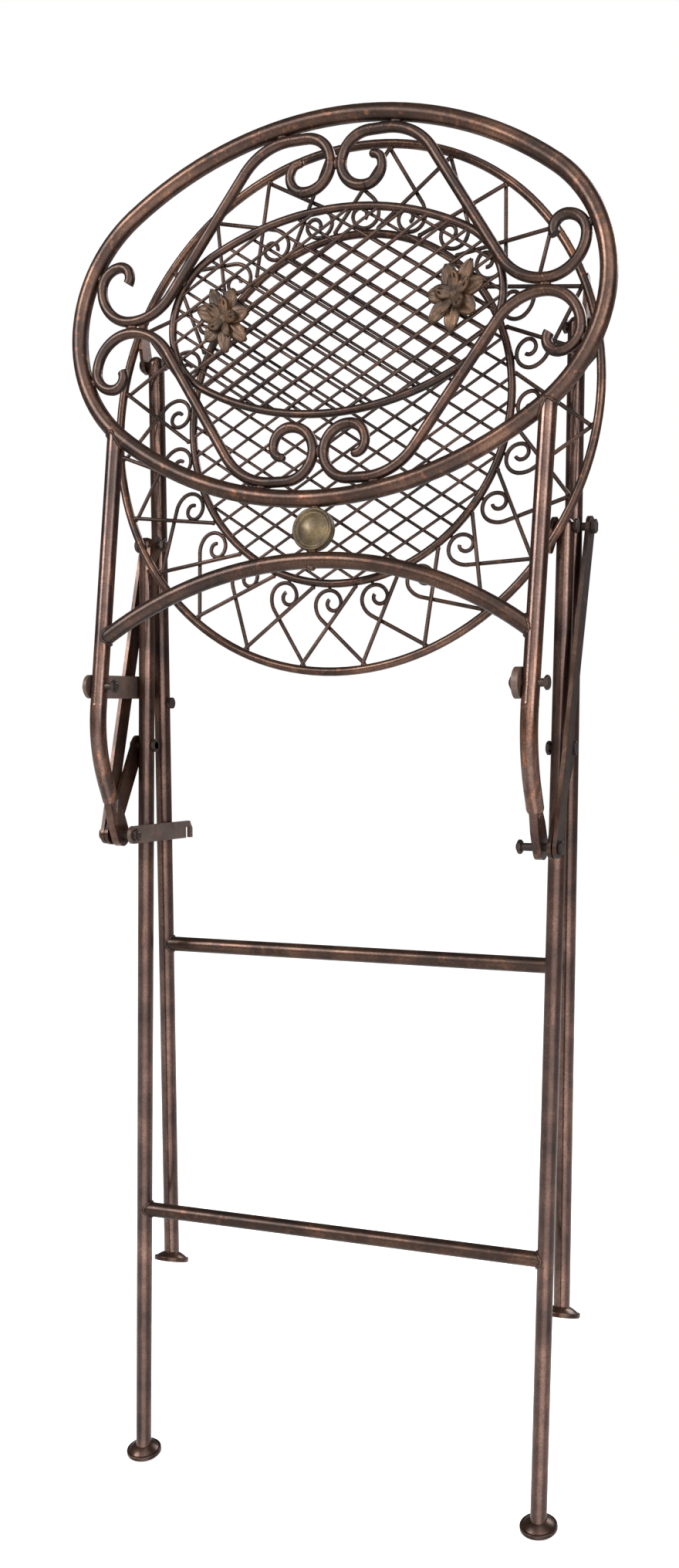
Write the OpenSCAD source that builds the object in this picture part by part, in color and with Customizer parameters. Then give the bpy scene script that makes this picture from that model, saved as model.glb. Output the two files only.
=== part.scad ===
// Folding wrought iron bar chair, folded flat and standing upright.
// X runs across the chair, +Y towards the front legs, Z up, millimetres.

/* [Tubes] */
// Outer diameter of the leg, upright and hoop tube
tube_d = 12.7; // [11:0.1:14]
// Wall of the leg tube
tube_wall = 1.5; // [1:0.1:2]
// Outer diameter of the rungs
rung_d = 12; // [9:0.5:12.5]
// How far the middles of the legs stand in from the rim of the seat
leg_inset = 27; // [25:0.5:30]

/* [Legs] */
// Height of the seat pivot on the rear legs
seat_pivot_z = 752; // [735:1:770]
// Height of the rear rung
rear_rung_z = 213; // [120:1:400]
// Height of the link pivot on the rear legs
link_pivot_z = 594; // [585:1:605]
// How far the rear legs lean when the chair is open
rear_lean = 17; // [14:0.5:18]
// Distance between the seat pivot and the front leg pivot, along the seat
pivot_gap = 143.6; // [138:0.2:150]
// Height of the folded front feet
front_foot_z = 162; // [150:1:175]
// How far the folded front feet stand in front of the rear legs
front_foot_y = 46; // [42:0.5:52]
// Height of the footrest on the folded front legs
footrest_z = 431; // [380:1:480]
// Height of the brace pivot on the folded front legs
brace_pivot_z = 754; // [745:1:765]

/* [Feet] */
// Diameter of the round feet
foot_d = 29; // [24:0.5:34]
// Thickness of the rim of a foot
foot_rim = 4; // [3:0.5:5]
// Height of a foot over its dome
foot_h = 9; // [7:0.5:11]

/* [Seat] */
// Diameter over the outer ring of the seat
seat_d = 400; // [392:1:408]
// Diameter of the outer ring's rod
seat_rod_d = 6.5; // [5.5:0.1:7]
// Diameter of the inner ring, measured between the middles of its rod
seat_inner_d = 261; // [240:1:280]
// Diameter of the inner ring's rod
seat_inner_rod_d = 6; // [5:0.1:7]
// Tilt of the folded seat from upright
seat_tilt = 5.2; // [4.6:0.1:5.6]
// Distance of the pivots below the plane of the seat
pivot_drop = 10.5; // [10.2:0.1:12]
// Distance of the seat's middle from the seat pivot, along the seat
seat_centre_s = 92.9; // [90:0.1:96]
// Number of scrolls in the seat border
seat_scrolls_n = 24; // [20:1:26]
// Diameter of the wire in the seat border
scroll_wire_d = 3; // [2:0.1:3.4]
// Radius of the curl at the end of a border scroll
curl_r = 10.5; // [8:0.1:11.5]
// Radius of the bend between the arm and the curl of a border scroll
curl_lead_r = 17; // [13:0.5:20]
// How far round the seat a curl's middle lies from the tip of its scroll, in degrees
curl_shift = 10.3; // [9:0.1:11]
// Width of the seat lugs
lug_w = 14; // [12:0.5:16]

/* [Mesh] */
// Width of a diamond in the mesh
mesh_cell_w = 27; // [20:0.5:36]
// Height of a diamond in the mesh
mesh_cell_h = 17; // [13:0.5:24]
// Diameter of the mesh wire
mesh_wire_d = 2.3; // [2:0.1:2.6]

/* [Back] */
// Width of the hoop, measured between the middles of its tube
hoop_w = 421; // [410:1:430]
// Height of the hoop, measured between the middles of its tube
hoop_h = 280; // [270:1:290]
// Height of the hoop's middle on the folded chair
hoop_z = 911; // [905:1:925]
// Lean of the folded back from upright
back_tilt = 6.6; // [5.8:0.1:7]
// Width of the inner oval, measured between the middles of its rod
oval_w = 265; // [245:1:275]
// Height of the inner oval, measured between the middles of its rod
oval_h = 151; // [138:1:158]
// Diameter of the inner oval's rod
oval_rod_d = 6; // [5:0.1:7]
// Diameter of the bar in the back scrolls
scroll_bar_d = 8; // [6:0.1:8.5]
// Radius of the lobe of a back scroll
lobe_r = 46; // [42:0.5:50]
// Distance of a lobe's middle from the middle of the back
lobe_x = 37; // [30:0.5:42]
// Radius of the hook inside a lobe
lobe_hook_r = 21; // [17:0.5:24]
// Radius of the bend that leads a scroll to the middle of the side
side_bend_r = 40; // [34:0.5:46]
// Radius of the widest arc of the curl at the side
side_curl_r = 28; // [25:0.5:30]
// Radius of the middle arc of the curl at the side
mid_curl_r = 15; // [13:0.5:17]
// Radius of the last arc of the curl at the side
end_curl_r = 9; // [7.5:0.5:11]
// Height of the folded uprights' lower pivot
lower_pivot_z = 523; // [519:1:527]
// How far the lower pivot lies behind the rear legs
lower_pivot_y = 40; // [38:0.5:42]
// Lean of the lowest stretch of the uprights
foot_tilt = 28; // [26:0.5:30]
// Length of the lowest stretch of the uprights, up to the corner of the bend
foot_stretch = 77; // [74:0.5:80]
// Radius of the bend in the uprights
upright_bend_r = 100; // [70:1:110]
// Height of the bolt through the folded uprights
upright_bolt_z = 637; // [632:1:642]
// Height at which the arch meets the uprights
arch_z = 672; // [665:1:680]
// Rise of the arch
arch_rise = 55.5; // [45:0.5:60]
// Diameter of the arch's bar
arch_d = 12; // [9:0.5:12.5]
// Diameter of the ornament disc
medallion_d = 32; // [26:0.5:38]
// Length of a cast leaf
leaf_l = 42; // [38:1:50]
// Distance of the left leaf from the middle of the back
left_leaf_x = 86; // [78:1:92]
// Distance of the right leaf from the middle of the back
right_leaf_x = 98; // [84:1:102]

/* [Links] */
// Thickness of the flat bars
strap_t = 3; // [2.5:0.1:3.2]
// Width of the side braces
brace_w = 15; // [13:0.5:17]
// Width of the short links
link_w = 16; // [14:0.5:18]
// Width of the folding stay
stay_w = 18; // [15:0.5:20]
// Reach of the folding stay from its pivot
stay_l = 98; // [92:1:104]
// Diameter of the pivot bolts
bolt_d = 6; // [5:0.1:6.5]
// Width of the bolt heads across the flats
bolt_flats = 9; // [8:0.5:10]
// Height of the bolt heads
bolt_head_h = 3; // [2.5:0.1:3.5]
// Radial clearance of a pivot
pivot_play = 0.1; // [0.05:0.01:0.15]
// Gap between parts that pass each other
pass_gap = 0.6; // [0.4:0.1:0.8]

/* [Hidden] */

$fn = 48;
seat_gap = 0.1;           // gap between welded pieces that only touch
bar_gap = 0.3;            // gap beside a bent bar, which keeps its weld beads clear
tube_r = tube_d / 2;
leg_x = seat_d / 2 - leg_inset;
leg_gap = 2 * leg_x;
outer_x = leg_x + tube_r; // outboard face of the legs
inner_x = leg_x - tube_r; // inboard face of the legs
link_x = outer_x + pass_gap + strap_t / 2;   // middle of the short links and the stay
brace_x = link_x + strap_t + pass_gap + 0.4; // middle of the side braces
lug_x = inner_x - 0.3 - strap_t / 2;         // middle of the rear seat lugs
hook_x = lug_x - strap_t - pass_gap;         // middle of the locking hook
hole_d = bolt_d + 2 * pivot_play;

// Side view points are [y, z], with y measured from the rear legs.
seat_pivot = [0, seat_pivot_z];
link_pivot = [0, link_pivot_z];
lower_pivot = [-lower_pivot_y, lower_pivot_z];
seat_up = [sin(seat_tilt), cos(seat_tilt)];   // along the folded seat
seat_out = [-cos(seat_tilt), sin(seat_tilt)]; // square to the seat, out of its top face
front_pivot = seat_pivot + pivot_gap * seat_up;
seat_centre = seat_pivot + seat_centre_s * seat_up + pivot_drop * seat_out;
front_foot = [front_foot_y, front_foot_z];
leg_slope = (front_foot[0] - front_pivot[0]) / (front_pivot[1] - front_foot[1]);
function on_front_leg(z) = [front_pivot[0] + (front_pivot[1] - z) * leg_slope, z];
front_tilt = atan(leg_slope);
brace_pivot = on_front_leg(brace_pivot_z);
front_leg_l = norm(front_pivot - front_foot);
rear_foot = [0, foot_d / 2 * sin(rear_lean) + foot_h / 2 * cos(rear_lean)];
// Lean of the open front legs, which puts all four feet on the floor
open_lean = acos((seat_pivot_z - rear_foot[1]) * cos(rear_lean) / front_leg_l);
front_foot_tilt = open_lean - front_tilt;

back_up = [sin(back_tilt), cos(back_tilt)];
foot_up = [-sin(foot_tilt), cos(foot_tilt)];
bend_turn = foot_tilt + back_tilt;
bend_run = upright_bend_r * tan(bend_turn / 2);
// Straight of the uprights below and above the bend, and the middle of the hoop on its line
upright_low_l = foot_stretch - bend_run;
upright_corner = lower_pivot + foot_stretch * foot_up;
upright_top_start = upright_corner + bend_run * back_up;
function on_back(z) = upright_corner + back_up * (z - upright_corner[1]) / cos(back_tilt);
hoop_centre = on_back(hoop_z);
upright_bolt = on_back(upright_bolt_z);
arch_foot = on_back(arch_z);

// The row's own Y axis runs through the middle of the folded chair.
front_reach = front_foot_y + foot_d / 2 * cos(front_foot_tilt) + foot_h / 2 * sin(front_foot_tilt);
bend_centre = lower_pivot + upright_low_l * foot_up + upright_bend_r * [cos(foot_tilt), sin(foot_tilt)];
rear_reach = upright_bend_r + tube_r - bend_centre[0];
leg_y = (rear_reach - front_reach) / 2;

hoop_a = hoop_w / 2;
hoop_b = hoop_h / 2;
oval_a = oval_w / 2;
oval_b = oval_h / 2;
seat_r = (seat_d - seat_rod_d) / 2;
seat_inner_r = seat_inner_d / 2;

dark_brown = "#3b2a25";
brown = "#4a3630";
rust = "#7a5138";
iron = "#2f2622";
bronze = "#6e5a35";

// Placing helpers

module at(p, x = 0) { translate([x, leg_y + p[0], p[1]]) children(); }

// Puts a piece drawn round Z on the X axis
module across() { rotate([0, 90, 0]) children(); }

// Both sides, the second one mirrored
module both_sides() { children(); mirror([1, 0, 0]) children(); }

// The plane of the seat: its own X across, its own Y up along the folded seat
module on_seat() { at(seat_centre) rotate([90 - seat_tilt, 0, 0]) children(); }

// The plane of the back, with the middle of the hoop at the origin
module in_back() { at(hoop_centre) rotate([90 - back_tilt, 0, 0]) children(); }

// A round rod between two points of a plane, at height z over it
module rod(p, q, d, z = 0) {
    run = q - p;
    translate([p[0], p[1], z]) rotate([0, 90, atan2(run[1], run[0])])
        cylinder(d = d, h = norm(run), $fn = 24);
}

// A round bar bent along steps of [radius, turn], or [0, length] for a straight. A weld bead
// bridges the short gap between two steps.
joint_gap = 0.12;
module bead(d) { rotate([0, 90, 0]) sphere(d = d + 0.2, $fn = 24); }
module arc(r, turn, d) {
    trim = asin(joint_gap / r);
    rotate(trim) rotate_extrude(angle = turn - 2 * trim) translate([r, 0]) circle(d = d, $fn = 24);
}
module bent_bar(steps, d, i = 0) {
    if (i < len(steps)) {
        r = steps[i][0];
        turn = steps[i][1];
        side = sign(turn);
        if (i > 0) bead(d);
        if (r == 0) {
            rotate([0, 90, 0]) translate([0, 0, joint_gap])
                cylinder(d = d, h = turn - 2 * joint_gap, $fn = 24);
            translate([turn, 0, 0]) bent_bar(steps, d, i + 1);
        } else {
            translate([0, side * r, 0]) {
                rotate(turn > 0 ? -90 : 90 + turn) arc(r, abs(turn), d);
                rotate(turn) translate([0, -side * r, 0]) bent_bar(steps, d, i + 1);
            }
        }
    }
}

// An oval of four arcs with half axes a and b: the radius of its ends, and how far the middles
// of its long sides lie beyond its own middle
function oval_end_r(b) = 0.75 * b;
function oval_drop(a, b) =
    (pow(a - oval_end_r(b), 2) - pow(b - oval_end_r(b), 2)) / (2 * (b - oval_end_r(b)));
module oval_ring(a, b, d) {
    end_r = oval_end_r(b);
    drop = oval_drop(a, b);
    side_r = b + drop;
    half_turn = atan((a - end_r) / drop);
    for (s = [-1, 1]) {
        translate([s * (a - end_r), 0, 0]) {
            rotate(s * 90 - 90 - (90 - half_turn)) arc(end_r, 180 - 2 * half_turn, d);
            for (t = [-1, 1])
                rotate(s * 90 - 90 + t * (90 - half_turn)) translate([end_r, 0, 0])
                    rotate(90) bead(d);
        }
        translate([0, -s * drop, 0]) rotate(s * 90 - half_turn) arc(side_r, 2 * half_turn, d);
    }
}

// Half the length that an ellipse of half axes a, b cuts from a line at angle t and offset o,
// and how far the middle of that length lies along the line
function chord_a(a, b, t) = pow(cos(t) / a, 2) + pow(sin(t) / b, 2);
function chord_b(a, b, t, o) = o * sin(t) * cos(t) * (1 / (b * b) - 1 / (a * a));
function chord_c(a, b, t, o) = pow(o * sin(t) / a, 2) + pow(o * cos(t) / b, 2) - 1;
function chord_d(a, b, t, o) =
    pow(chord_b(a, b, t, o), 2) - chord_a(a, b, t) * chord_c(a, b, t, o);

// Diamond mesh inside an ellipse, its two sets of wires one above the other
module diamond_mesh(a, b) {
    lean = atan(mesh_cell_h / mesh_cell_w);
    pitch = mesh_cell_w * sin(lean);
    rows = floor((a * sin(lean) + b * cos(lean)) / pitch);
    for (s = [-1, 1], i = [-rows:rows]) {
        t = s * lean;
        o = i * pitch;
        room = chord_d(a, b, t, o);
        if (room > 0 && sqrt(room) / chord_a(a, b, t) > mesh_cell_h / 2) {
            mid = -chord_b(a, b, t, o) / chord_a(a, b, t);
            half = sqrt(room) / chord_a(a, b, t);
            base = o * [-sin(t), cos(t)] + mid * [cos(t), sin(t)];
            rod(base - half * [cos(t), sin(t)], base + half * [cos(t), sin(t)],
                mesh_wire_d, s * (mesh_wire_d + seat_gap) / 2);
        }
    }
}

// Hex bolt on the X axis of the right side: its head ends at head_x, its nut begins at nut_x,
// and its shank stands out of the nut by stub
module pivot_bolt(p, head_x, nut_x, stub = 1.2) {
    hex_d = bolt_flats / cos(30);
    at(p, nut_x - stub) across() {
        cylinder(d = bolt_d, h = head_x - nut_x + stub);
        translate([0, 0, stub]) cylinder(d = hex_d, h = bolt_head_h, $fn = 6);
        translate([0, 0, head_x - nut_x + stub - bolt_head_h])
            cylinder(d = hex_d, h = bolt_head_h, $fn = 6);
    }
}

// Flat bar with round ends between two points of the side view, bored at both
module strap(p, q, w, x, bores = [true, true]) {
    run = q - p;
    difference() {
        union() {
            for (e = [p, q])
                at(e, x - strap_t / 2) across() cylinder(d = w, h = strap_t);
            at(p, x) rotate([atan2(run[1], run[0]), 0, 0]) translate([0, norm(run) / 2, 0])
                cube([strap_t, norm(run), w - 0.2], center = true);
        }
        for (i = [0, 1]) if (bores[i])
            at(i == 0 ? p : q, x - strap_t) across() cylinder(d = hole_d, h = 2 * strap_t);
    }
}

// Legs

// Tube from its open foot end up to a domed top round the pivot there
module leg_tube(top, foot_end, bores) {
    run = top - foot_end;
    length = norm(run);
    bore_r = tube_r - tube_wall;
    difference() {
        at(foot_end, leg_x) rotate([-atan2(run[0], run[1]), 0, 0]) rotate_extrude() difference() {
            union() {
                square([tube_r, length]);
                translate([0, length]) circle(r = tube_r);
            }
            translate([-tube_d, -1]) square([tube_d, length + tube_d]);
            translate([-1, -1]) square([bore_r + 1, length + 1 + tube_r - 3 * tube_wall]);
        }
        for (b = bores)
            at(b, leg_x - tube_d) across() cylinder(d = hole_d, h = 2 * tube_d);
    }
}

module rear_leg() {
    leg_tube(seat_pivot, [0, foot_h], [seat_pivot, link_pivot]);
}

module front_leg(bores) { leg_tube(front_pivot, front_foot, bores); }

module rear_leg_right() { color(brown) rear_leg(); }
module rear_leg_left() { color(brown) mirror([1, 0, 0]) rear_leg(); }
module front_leg_right() { color(brown) front_leg([front_pivot]); }
module front_leg_left() {
    color(brown) mirror([1, 0, 0]) front_leg([front_pivot, catch_point]);
}

// Rung between two legs, coped round their tubes
module rung(p, tilt) {
    difference() {
        at(p, -leg_x) across() cylinder(d = rung_d, h = leg_gap);
        for (s = [-1, 1])
            at(p, s * leg_x) rotate([tilt, 0, 0])
                cylinder(d = tube_d + 2 * seat_gap, h = 4 * tube_d, center = true);
    }
}

module rear_rung() { color(dark_brown) rung([0, rear_rung_z], 0); }
module footrest() { color(dark_brown) rung(on_front_leg(footrest_z), front_tilt); }

// Domed foot round the end of a leg: flat below, tilted so that it lies flat on the open chair
module foot_blank() {
    rotate_extrude() {
        difference() {
            union() {
                square([foot_d / 2 - 1, foot_rim]);
                translate([0, 1]) square([foot_d / 2, foot_rim - 2]);
                translate([foot_d / 2 - 1, 1]) circle(r = 1);
                translate([foot_d / 2 - 1, foot_rim - 1]) circle(r = 1);
                intersection() {
                    translate([0, foot_h - dome_r]) circle(r = dome_r, $fn = 96);
                    translate([0, foot_rim - 1]) square([foot_d / 2 - 1, foot_h]);
                }
            }
            translate([-foot_d, -1]) square([foot_d, 2 * foot_h]);
        }
    }
}
dome_rise = foot_h - foot_rim + 1;
dome_r = (pow(foot_d / 2 - 1, 2) + pow(dome_rise, 2)) / (2 * dome_rise);

module foot(p, leg_tilt, tilt) {
    difference() {
        at(p, leg_x) rotate([tilt, 0, 0]) translate([0, 0, -foot_h / 2]) foot_blank();
        at(p, leg_x) rotate([leg_tilt, 0, 0]) cylinder(d = tube_d + 2 * seat_gap, h = 3 * foot_h);
    }
}

module rear_foot_right() { color(dark_brown) foot(rear_foot, 0, rear_lean); }
module rear_foot_left() { mirror([1, 0, 0]) rear_foot_right(); }
module front_foot_right() { color(dark_brown) foot(front_foot, front_tilt, -front_foot_tilt); }
module front_foot_left() { mirror([1, 0, 0]) front_foot_right(); }

module seat_pivot_bolts() {
    color(iron) both_sides()
        pivot_bolt(seat_pivot, outer_x + bolt_head_h + 0.2, hook_x - strap_t / 2 - 0.3 - bolt_head_h);
}
module link_bolts() {
    color(iron) both_sides()
        pivot_bolt(link_pivot, link_x + strap_t / 2 + bolt_head_h + 0.2,
            inner_x - bolt_head_h - 0.1, 0);
}
module front_pivot_bolts() {
    color(iron) both_sides()
        pivot_bolt(front_pivot, link_x + strap_t / 2 + bolt_head_h + 0.2,
            inner_x - bolt_head_h - 0.1);
}

// The stay of the folded back rests on this stud, on the left front leg only.
catch_point = [on_front_leg(upright_bolt_z - 8)[0], upright_bolt_z - 8];
module catch_stud() {
    color(iron) mirror([1, 0, 0]) at(catch_point, inner_x - 3.4) across() {
        cylinder(d = bolt_d, h = link_x + strap_t / 2 + 1 - inner_x + 3.4);
        cylinder(d = bolt_flats, h = 3.3);
    }
}

// Seat

module seat_outer_ring() {
    color(brown) on_seat() rotate_extrude() translate([seat_r, 0]) circle(d = seat_rod_d);
}
module seat_inner_ring() {
    color(dark_brown) on_seat()
        rotate_extrude() translate([seat_inner_r, 0]) circle(d = seat_inner_rod_d);
}
module seat_mesh() {
    color(iron) on_seat() difference() {
        diamond_mesh(seat_inner_r, seat_inner_r);
        rotate_extrude()
            translate([seat_inner_r, 0]) circle(d = seat_inner_rod_d + 2 * seat_gap);
    }
}

// One scroll of the border: a straight arm and one that ends in a curl, both from a point on
// the outer ring, one above the other where they cross their neighbours
border_out = seat_r - seat_rod_d / 2 - scroll_wire_d * 0.3 - seat_gap;
border_in = seat_inner_r + seat_inner_rod_d / 2 + scroll_wire_d * 0.3 + seat_gap;
// The curl lies against the inner ring. The arm runs to it as a tangent of its first bend.
curl_at = seat_inner_r + (seat_inner_rod_d + scroll_wire_d) / 2 + bar_gap + curl_r;
curl_centre = -curl_at * [sin(curl_shift), cos(curl_shift)];
lead_run = curl_centre + [curl_lead_r - curl_r, border_out];
lead_turn = atan2(lead_run[1], lead_run[0]) + asin(curl_lead_r / norm(lead_run)) - 90;
lead_l = sqrt(pow(norm(lead_run), 2) - pow(curl_lead_r, 2));
module seat_scroll() {
    layer = (scroll_wire_d + seat_gap) / 2;
    foot_angle = 0.95 * 360 / seat_scrolls_n;
    rod([0, -border_out], border_in * [sin(foot_angle), -cos(foot_angle)], scroll_wire_d, layer);
    translate([0, -border_out, -layer]) rotate(90 + lead_turn)
        bent_bar([[0, lead_l], [curl_lead_r, -lead_turn], [curl_r, -180], [0.54 * curl_r, -180],
            [0.38 * curl_r, -60]], scroll_wire_d);
}
module seat_scrolls() {
    color(dark_brown) on_seat()
        for (i = [0:seat_scrolls_n - 1]) rotate((i + 0.5) * 360 / seat_scrolls_n) seat_scroll();
}

// Lugs that carry the seat ring on the legs
function seat_point(s, drop) = seat_pivot + s * seat_up + (pivot_drop - drop) * seat_out;
module seat_lug(pivot_s, ring_s, x) {
    difference() {
        strap(seat_point(pivot_s, pivot_drop), seat_point(ring_s, 0), lug_w, x, [true, false]);
        on_seat() rotate_extrude()
            translate([seat_r, 0]) circle(d = seat_rod_d + 2 * seat_gap);
        on_seat() translate([-seat_d, -seat_d, seat_gap / 2 + 1])
            cube([2 * seat_d, 2 * seat_d, lug_w]);
    }
}
rear_lug_s = seat_centre_s - sqrt(pow(seat_r, 2) - pow(lug_x, 2));
front_lug_s = seat_centre_s + sqrt(pow(seat_r, 2) - pow(link_x, 2));
module seat_lug_rear_right() { color(brown) seat_lug(0, rear_lug_s, lug_x); }
module seat_lug_rear_left() { mirror([1, 0, 0]) seat_lug_rear_right(); }
module seat_lug_front_right() { color(brown) seat_lug(pivot_gap, front_lug_s, link_x); }
module seat_lug_front_left() { mirror([1, 0, 0]) seat_lug_front_right(); }

// Links and braces of the fold

module short_link_right() { color(dark_brown) strap(lower_pivot, link_pivot, link_w, link_x); }
module short_link_left() { mirror([1, 0, 0]) short_link_right(); }
module side_brace_right() { color(dark_brown) strap(lower_pivot, brace_pivot, brace_w, brace_x); }
module side_brace_left() { mirror([1, 0, 0]) side_brace_right(); }
module lower_pivot_bolts() {
    color(iron) both_sides()
        pivot_bolt(lower_pivot, brace_x + strap_t / 2 + bolt_head_h + 0.2,
            hook_x - strap_t / 2 - 0.3 - bolt_head_h);
}
module brace_bolts() {
    color(iron) both_sides() at(brace_pivot, outer_x + 0.3) across() {
        cylinder(d = bolt_d, h = brace_x + strap_t / 2 + 1 - outer_x);
        translate([0, 0, brace_x + strap_t / 2 - outer_x])
            cylinder(d = bolt_flats / cos(30), h = bolt_head_h, $fn = 6);
    }
}

// Back

module back_hoop() { color(brown) in_back() oval_ring(hoop_a, hoop_b, tube_d); }

// The inner oval and its mesh lie behind the bars of the scrolls
oval_z = -(scroll_bar_d + oval_rod_d) / 2 - bar_gap;
module in_oval() { in_back() translate([0, 0, oval_z]) children(); }
module back_inner_oval() { color(dark_brown) in_oval() oval_ring(oval_a, oval_b, oval_rod_d); }
module back_mesh() {
    color(iron) in_oval() difference() {
        diamond_mesh(oval_a, oval_b);
        oval_ring(oval_a, oval_b, oval_rod_d + 2 * seat_gap);
    }
}

// One S scroll: its lobe lies against the top of the hoop, its curl against the hoop's end, and
// a straight between them is a tangent of both
bar_r = scroll_bar_d / 2;
middle_gap = bar_r + bar_gap; // from the middle lines of the back to the bars beside them
hoop_gap = tube_r + bar_r + bar_gap;
hoop_drop = oval_drop(hoop_a, hoop_b);
hoop_end_r = oval_end_r(hoop_b);
lobe = [lobe_x, sqrt(pow(hoop_b + hoop_drop - hoop_gap - lobe_r, 2) - pow(lobe_x, 2)) - hoop_drop];
lobe_top = lobe[1] + lobe_r;
curl_v = middle_gap + side_curl_r;
curl_u = hoop_a - hoop_end_r + mid_curl_r - side_curl_r
    + sqrt(pow(hoop_end_r - hoop_gap - mid_curl_r, 2) - pow(curl_v, 2));
diag_run = [curl_u, middle_gap + side_bend_r] - lobe;
diag_turn = asin((lobe_r + side_bend_r) / norm(diag_run)) - atan2(diag_run[1], diag_run[0]);
diag_l = sqrt(pow(norm(diag_run), 2) - pow(lobe_r + side_bend_r, 2));
module s_scroll() {
    translate([middle_gap, lobe_top - lobe_hook_r, 0]) {
        rotate(90) bent_bar([[lobe_hook_r, -90], [0, lobe_x - middle_gap - lobe_hook_r],
            [lobe_r, -diag_turn], [0, diag_l], [side_bend_r, diag_turn], [side_curl_r, 90],
            [mid_curl_r, 90], [end_curl_r, 120]], scroll_bar_d);
        rotate(-90) bent_bar([[0.9 * lobe_hook_r, 95]], scroll_bar_d);
        rotate(90) bead(scroll_bar_d);
    }
}
module back_scroll_top_right() { color(dark_brown) in_back() s_scroll(); }
module back_scroll_top_left() { mirror([1, 0, 0]) back_scroll_top_right(); }
module back_scroll_bottom_right() { color(dark_brown) in_back() mirror([0, 1, 0]) s_scroll(); }
module back_scroll_bottom_left() { mirror([1, 0, 0]) back_scroll_bottom_right(); }

// Cast leaf on the mesh: a lobed outline with a raised middle
function leaf_r(t) = leaf_l / 2 * (0.66 + 0.2 * abs(cos(2.5 * t)) + 0.14 * cos(t));
module leaf_layer(size, h) {
    linear_extrude(h) polygon([for (t = [0:10:350]) size * leaf_r(t) * [cos(t), sin(t)]]);
}
module leaf() {
    translate([0, 0, mesh_wire_d + seat_gap]) {
        leaf_layer(1, 2);
        translate([0, 0, 1.5]) leaf_layer(0.72, 2);
        translate([0, 0, 3]) leaf_layer(0.45, 2);
    }
}
module cast_leaf_right() {
    color(bronze) in_oval() translate([right_leaf_x, 0, 0]) rotate(-60) leaf();
}
module cast_leaf_left() {
    color(bronze) in_oval() translate([-left_leaf_x, 0, 0]) rotate(120) leaf();
}

// Upright: flat eye at the lower pivot, a bend, then straight up to the hoop
eye_t = 6;
eye_w = 18;
flat_l = 16;
join_drop = sqrt(pow(hoop_end_r, 2) - pow(leg_x - (hoop_a - hoop_end_r), 2));
upright_top_l = norm(hoop_centre - upright_top_start) - join_drop;
taper_l = 16;
module upright() {
    difference() {
        at(lower_pivot, leg_x) rotate([foot_tilt, 0, 0]) {
            translate([-eye_t / 2, 0, 0]) across() cylinder(d = eye_w, h = eye_t);
            translate([-eye_t / 2, 0, 0]) rotate([90, 0, 90]) linear_extrude(eye_t)
                polygon([[-eye_w / 2 + 0.1, 0], [eye_w / 2 - 0.1, 0], [eye_w / 2 - 0.1, flat_l],
                    [tube_d / 2 - 1, flat_l + taper_l], [-tube_d / 2 + 1, flat_l + taper_l],
                    [-eye_w / 2 + 0.1, flat_l]]);
            translate([0, 0, flat_l + 2]) cylinder(d1 = eye_t - 1, d2 = tube_d, h = taper_l - 2);
            translate([0, 0, flat_l + taper_l]) {
                rotate([0, -90, 0]) bead(tube_d);
                rotate([0, -90, 0]) bent_bar([[0, upright_low_l - flat_l - taper_l],
                    [upright_bend_r, bend_turn], [0, upright_top_l]], tube_d);
            }
        }
        at(lower_pivot, leg_x - eye_t) across() cylinder(d = hole_d, h = 2 * eye_t);
        at(upright_bolt, leg_x - tube_d) across() cylinder(d = hole_d, h = 2 * tube_d);
        in_back() oval_ring(hoop_a, hoop_b, tube_d + 2 * seat_gap);
    }
}
module back_upright_right() { color(brown) upright(); }
module back_upright_left() { mirror([1, 0, 0]) back_upright_right(); }

// Arch between the uprights, with the disc between it and the hoop
arch_span = leg_x;
arch_r = (pow(arch_span, 2) + pow(arch_rise, 2)) / (2 * arch_rise);
arch_half = asin(arch_span / arch_r);
arch_v = (arch_z - hoop_z) / cos(back_tilt);
module back_arch() {
    color(dark_brown) difference() {
        in_back() translate([0, arch_v + arch_rise - arch_r, 0]) rotate(90 - arch_half)
            rotate_extrude(angle = 2 * arch_half) translate([arch_r, 0]) circle(d = arch_d);
        for (s = [-1, 1])
            at(arch_foot, s * leg_x) rotate([-back_tilt, 0, 0])
                cylinder(d = tube_d + 2 * seat_gap, h = 12 * tube_d, center = true);
    }
}
disc_low = arch_v + arch_rise + arch_d / 2 + seat_gap;
disc_high = -hoop_b - tube_r - seat_gap;
module back_medallion() {
    mid = (disc_low + disc_high) / 2;
    color(bronze) in_back() intersection() {
        translate([0, mid, -6]) union() {
            cylinder(d = medallion_d, h = 9);
            translate([0, 0, 9]) cylinder(d1 = medallion_d - 2, d2 = medallion_d * 0.55, h = 3);
            translate([0, 0, -2]) cylinder(d1 = medallion_d * 0.7, d2 = medallion_d - 2, h = 2);
        }
        translate([-medallion_d, disc_low, -medallion_d])
            cube([2 * medallion_d, disc_high - disc_low, 2 * medallion_d]);
    }
}

module upright_bolts() {
    color(iron) both_sides()
        pivot_bolt(upright_bolt, link_x + strap_t / 2 + bolt_head_h + 0.2,
            inner_x - 5.2 - bolt_head_h);
}
collar_d = 22;
module upright_collar_right() {
    color(rust) difference() {
        at(upright_bolt, inner_x - 5) across() cylinder(d = collar_d, h = 4.9);
        at(upright_bolt, inner_x - 6) across() cylinder(d = hole_d, h = 8);
    }
}

// Latches on the left side

module folding_stay() {
    tip = [upright_bolt[0] + stay_l, catch_point[1] + bolt_d / 2 + stay_w / 2 + 0.4];
    color(rust) mirror([1, 0, 0]) strap(upright_bolt, tip, stay_w, link_x, [true, false]);
}

function turned(v, a) = [v[0] * cos(a) - v[1] * sin(a), v[0] * sin(a) + v[1] * cos(a)];
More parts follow.
